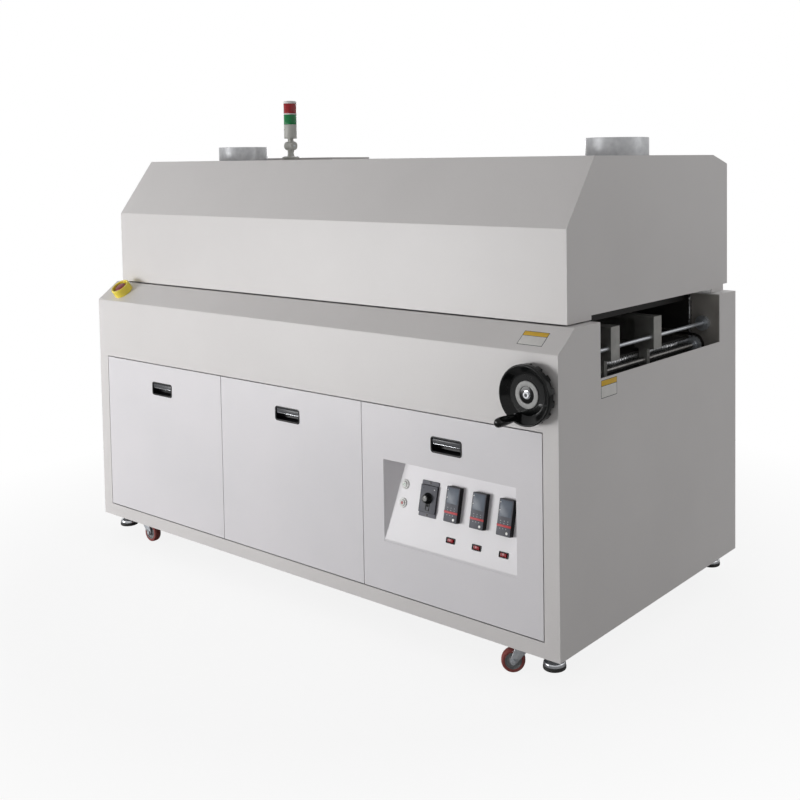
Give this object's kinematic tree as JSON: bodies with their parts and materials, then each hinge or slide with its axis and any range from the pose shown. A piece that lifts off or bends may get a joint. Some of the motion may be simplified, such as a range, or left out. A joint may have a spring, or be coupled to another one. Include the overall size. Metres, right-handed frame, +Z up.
{
  "type": "tunnel reflow oven",
  "caption": "Long floor-standing reflow oven with a rear-hinged hood over a conveyor tunnel, lower doors, a control recess, width handwheel, signal tower and casters.",
  "frame": {"origin": "on the floor under the casters, below the middle of the outline's bounding box", "axes": "+X along the conveyor towards the handwheel end, +Y from the doors to the rear, +Z up"},
  "size_m": [2.04, 1.152, 1.602],
  "materials": {
    "white_enamel": "smooth powder coat",
    "frame_paint": "powder coat",
    "door_enamel": "smooth powder coat",
    "sheet_steel": "satin sheet",
    "chamber_steel": "satin stainless sheet",
    "rail_aluminium": "anodised extrusion",
    "bright_steel": "ground and chromed",
    "screw_steel": "rolled thread",
    "chain_steel": "oiled chain",
    "motor_paint": "hammered enamel",
    "hinge_steel": "zinc plated",
    "guard_yellow": "moulded, semi-gloss",
    "stop_red": "moulded, gloss",
    "foot_rubber": "chromed cup over a black rubber pad",
    "electric_grey": "moulded cases on a zinc plate",
    "duct_steel": "powder coat",
    "tower_grey": "moulded, satin",
    "tower_ivory": "moulded, satin",
    "lens_green": "translucent lens",
    "lens_red": "translucent lens",
    "pull_black": "moulded, gloss rim",
    "flap_grey": "moulded",
    "tray_enamel": "powder coat",
    "instrument_grey": "moulded bezel with a dark display",
    "speed_grey": "moulded",
    "knob_black": "moulded",
    "bezel_white": "moulded ring",
    "button_green": "moulded cap",
    "button_red": "moulded cap",
    "rocker_black": "moulded",
    "wheel_black": "phenolic, polished",
    "caster_steel": "zinc plated pressing",
    "caster_tread": "dark red polyurethane"
  },
  "bodies": {
    "cabinet": {"base_frame": "frame_paint", "front_panel": "white_enamel", "left_end_panel": "white_enamel", "right_end_panel": "white_enamel", "rear_panel": "white_enamel", "tunnel_side_walls": "sheet_steel", "lower_chamber": "chamber_steel", "lower_nozzle_plate": "chamber_steel", "fixed_rail": "rail_aluminium", "guide_rods": "bright_steel", "shaft_bearings": "rail_aluminium", "adjust_chain": "chain_steel", "drive_motor": "motor_paint", "hinge_brackets": "hinge_steel", "estop_guard": "guard_yellow", "levelling_feet": "foot_rubber", "electrics": "electric_grey"},
    "hood": {"hood_shell": "white_enamel", "upper_chamber": "chamber_steel", "exhaust_collars": "duct_steel", "tower_base": "tower_grey"},
    "signal_tower": {"tower_body": "tower_ivory", "tower_green_lens": "lens_green", "tower_red_lens": "lens_red"},
    "left_leaf": {"left_door": "door_enamel", "left_pull": "pull_black"},
    "middle_leaf": {"middle_door": "door_enamel", "middle_pull": "pull_black"},
    "right_leaf": {"right_door": "door_enamel", "right_pull": "pull_black", "control_tray": "tray_enamel", "zone_controllers": "instrument_grey", "speed_controller": "speed_grey", "button_bezels": "bezel_white", "rocker_frames": "rocker_black"},
    "left_squeeze": {"left_flap": "flap_grey"},
    "middle_squeeze": {"middle_flap": "flap_grey"},
    "right_squeeze": {"right_flap": "flap_grey"},
    "knob": {"speed_knob": "knob_black"},
    "speed_switch": {"speed_rocker": "rocker_black"},
    "start": {"start_button": "button_green"},
    "stop": {"stop_button": "button_red"},
    "zone_switch_1": {"zone_1_rocker": "rocker_black"},
    "zone_switch_2": {"zone_2_rocker": "rocker_black"},
    "zone_switch_3": {"zone_3_rocker": "rocker_black"},
    "emergency_head": {"estop_button": "stop_red"},
    "width_wheel": {"handwheel": "wheel_black", "lead_screw_right": "screw_steel"},
    "grip": {"crank_grip": "wheel_black"},
    "left_screw": {"lead_screw_left": "screw_steel"},
    "conveyor_shaft": {"drive_shaft": "bright_steel"},
    "width_rail": {"movable_rail": "rail_aluminium"},
    "front_left_swivel": {"front_left_caster_fork": "caster_steel"},
    "front_left_roller": {"front_left_caster_wheel": "caster_tread"},
    "front_right_swivel": {"front_right_caster_fork": "caster_steel"},
    "front_right_roller": {"front_right_caster_wheel": "caster_tread"},
    "rear_left_swivel": {"rear_left_caster_fork": "caster_steel"},
    "rear_left_roller": {"rear_left_caster_wheel": "caster_tread"},
    "rear_right_swivel": {"rear_right_caster_fork": "caster_steel"},
    "rear_right_roller": {"rear_right_caster_wheel": "caster_tread"}
  },
  "joints": [
    {"name": "hood_hinge", "type": "hinge", "parent": "cabinet", "child": "hood", "pos_m": [0, 0.538, 0.945], "axis": [-1, 0, 0], "range_deg": [0, 50]},
    {"name": "signal_tower_tilt", "type": "hinge", "parent": "hood", "child": "signal_tower", "pos_m": [-0.638, 0.14, 1.43], "axis": [-1, 0, 0], "range_deg": [0, 90]},
    {"name": "left_door_hinge", "type": "hinge", "parent": "cabinet", "child": "left_leaf", "pos_m": [-0.64667, -0.454, 0.132], "axis": [1, 0, 0], "range_deg": [0, 90]},
    {"name": "left_flap_squeeze", "type": "hinge", "parent": "left_leaf", "child": "left_squeeze", "pos_m": [-0.64667, -0.457, 0.5985], "axis": [1, 0, 0], "range_deg": [0, 30]},
    {"name": "middle_door_hinge", "type": "hinge", "parent": "cabinet", "child": "middle_leaf", "pos_m": [0, -0.454, 0.132], "axis": [1, 0, 0], "range_deg": [0, 90]},
    {"name": "middle_flap_squeeze", "type": "hinge", "parent": "middle_leaf", "child": "middle_squeeze", "pos_m": [0, -0.457, 0.5985], "axis": [1, 0, 0], "range_deg": [0, 30]},
    {"name": "right_door_hinge", "type": "hinge", "parent": "cabinet", "child": "right_leaf", "pos_m": [0.64667, -0.454, 0.132], "axis": [1, 0, 0], "range_deg": [0, 90]},
    {"name": "right_flap_squeeze", "type": "hinge", "parent": "right_leaf", "child": "right_squeeze", "pos_m": [0.64667, -0.457, 0.5985], "axis": [1, 0, 0], "range_deg": [0, 30]},
    {"name": "speed_knob_turn", "type": "hinge", "parent": "right_leaf", "child": "knob", "pos_m": [0.55567, -0.44283, 0.41976], "axis": [0, -0.9763, 0.2164], "range_deg": [-140, 140]},
    {"name": "speed_switch_tip", "type": "hinge", "parent": "right_leaf", "child": "speed_switch", "pos_m": [0.55667, -0.43826, 0.39417], "axis": [-1, 0, 0], "range_deg": [0, 14]},
    {"name": "stop_push", "type": "slide", "parent": "right_leaf", "child": "stop", "axis": [0, 0.9763, -0.2164], "range_m": [0, 0.003], "stiffness_N_per_m": 300},
    {"name": "start_push", "type": "slide", "parent": "right_leaf", "child": "start", "axis": [0, 0.9763, -0.2164], "range_m": [0, 0.003], "stiffness_N_per_m": 300},
    {"name": "zone_1_switch_tip", "type": "hinge", "parent": "right_leaf", "child": "zone_switch_1", "pos_m": [0.64967, -0.44744, 0.32041], "axis": [0, 0.2164, 0.9763], "range_deg": [0, 14]},
    {"name": "zone_2_switch_tip", "type": "hinge", "parent": "right_leaf", "child": "zone_switch_2", "pos_m": [0.74167, -0.44744, 0.32041], "axis": [0, 0.2164, 0.9763], "range_deg": [0, 14]},
    {"name": "zone_3_switch_tip", "type": "hinge", "parent": "right_leaf", "child": "zone_switch_3", "pos_m": [0.83367, -0.44744, 0.32041], "axis": [0, 0.2164, 0.9763], "range_deg": [0, 14]},
    {"name": "emergency_stop_push", "type": "slide", "parent": "cabinet", "child": "emergency_head", "axis": [0, 0.6033, -0.7975], "range_m": [0, 0.006], "stiffness_N_per_m": 600},
    {"name": "handwheel_turn", "type": "hinge", "parent": "cabinet", "child": "width_wheel", "pos_m": [0.938, -0.46, 0.768], "axis": [0, 1, 0], "range_deg": [-8280, 5040]},
    {"name": "crank_grip_spin", "type": "hinge", "parent": "width_wheel", "child": "grip", "pos_m": [0.91197, -0.53, 0.70953], "axis": [0, 1, 0], "continuous": true},
    {"name": "left_screw_turn", "type": "hinge", "parent": "cabinet", "child": "left_screw", "pos_m": [-0.938, 0, 0.768], "axis": [0, 1, 0], "range_deg": [-8281, 5041]},
    {"name": "width_rail_slide", "type": "slide", "parent": "cabinet", "child": "width_rail", "axis": [0, 1, 0], "range_m": [-0.1401, 0.2301]},
    {"name": "conveyor_shaft_spin", "type": "hinge", "parent": "cabinet", "child": "conveyor_shaft", "pos_m": [-0.928, 0, 0.822], "axis": [0, 1, 0], "continuous": true},
    {"name": "front_left_swivel_turn", "type": "hinge", "parent": "cabinet", "child": "front_left_swivel", "pos_m": [-0.838, -0.4, 0.07], "axis": [0, 0, 1], "continuous": true},
    {"name": "front_left_wheel_spin", "type": "hinge", "parent": "front_left_swivel", "child": "front_left_roller", "pos_m": [-0.813, -0.4, 0.0325], "axis": [0, 1, 0], "continuous": true},
    {"name": "front_right_swivel_turn", "type": "hinge", "parent": "cabinet", "child": "front_right_swivel", "pos_m": [0.863, -0.41, 0.07], "axis": [0, 0, 1], "continuous": true},
    {"name": "front_right_wheel_spin", "type": "hinge", "parent": "front_right_swivel", "child": "front_right_roller", "pos_m": [0.84335, -0.42546, 0.0325], "axis": [0.6184, -0.7859, 0], "continuous": true},
    {"name": "rear_left_swivel_turn", "type": "hinge", "parent": "cabinet", "child": "rear_left_swivel", "pos_m": [-0.838, 0.496, 0.07], "axis": [0, 0, 1], "continuous": true},
    {"name": "rear_left_wheel_spin", "type": "hinge", "parent": "rear_left_swivel", "child": "rear_left_roller", "pos_m": [-0.86149, 0.50455, 0.0325], "axis": [-0.342, -0.9397, 0], "continuous": true},
    {"name": "rear_right_swivel_turn", "type": "hinge", "parent": "cabinet", "child": "rear_right_swivel", "pos_m": [0.863, 0.496, 0.07], "axis": [0, 0, 1], "continuous": true},
    {"name": "rear_right_wheel_spin", "type": "hinge", "parent": "rear_right_swivel", "child": "rear_right_roller", "pos_m": [0.838, 0.496, 0.0325], "axis": [0, -1, 0], "continuous": true}
  ],
  "couplings": [
    {"joint": "left_screw_turn", "follows": "handwheel_turn", "ratio": 1},
    {"joint": "width_rail_slide", "follows": "handwheel_turn", "m_per_rad": -0.0015915}
  ]
}
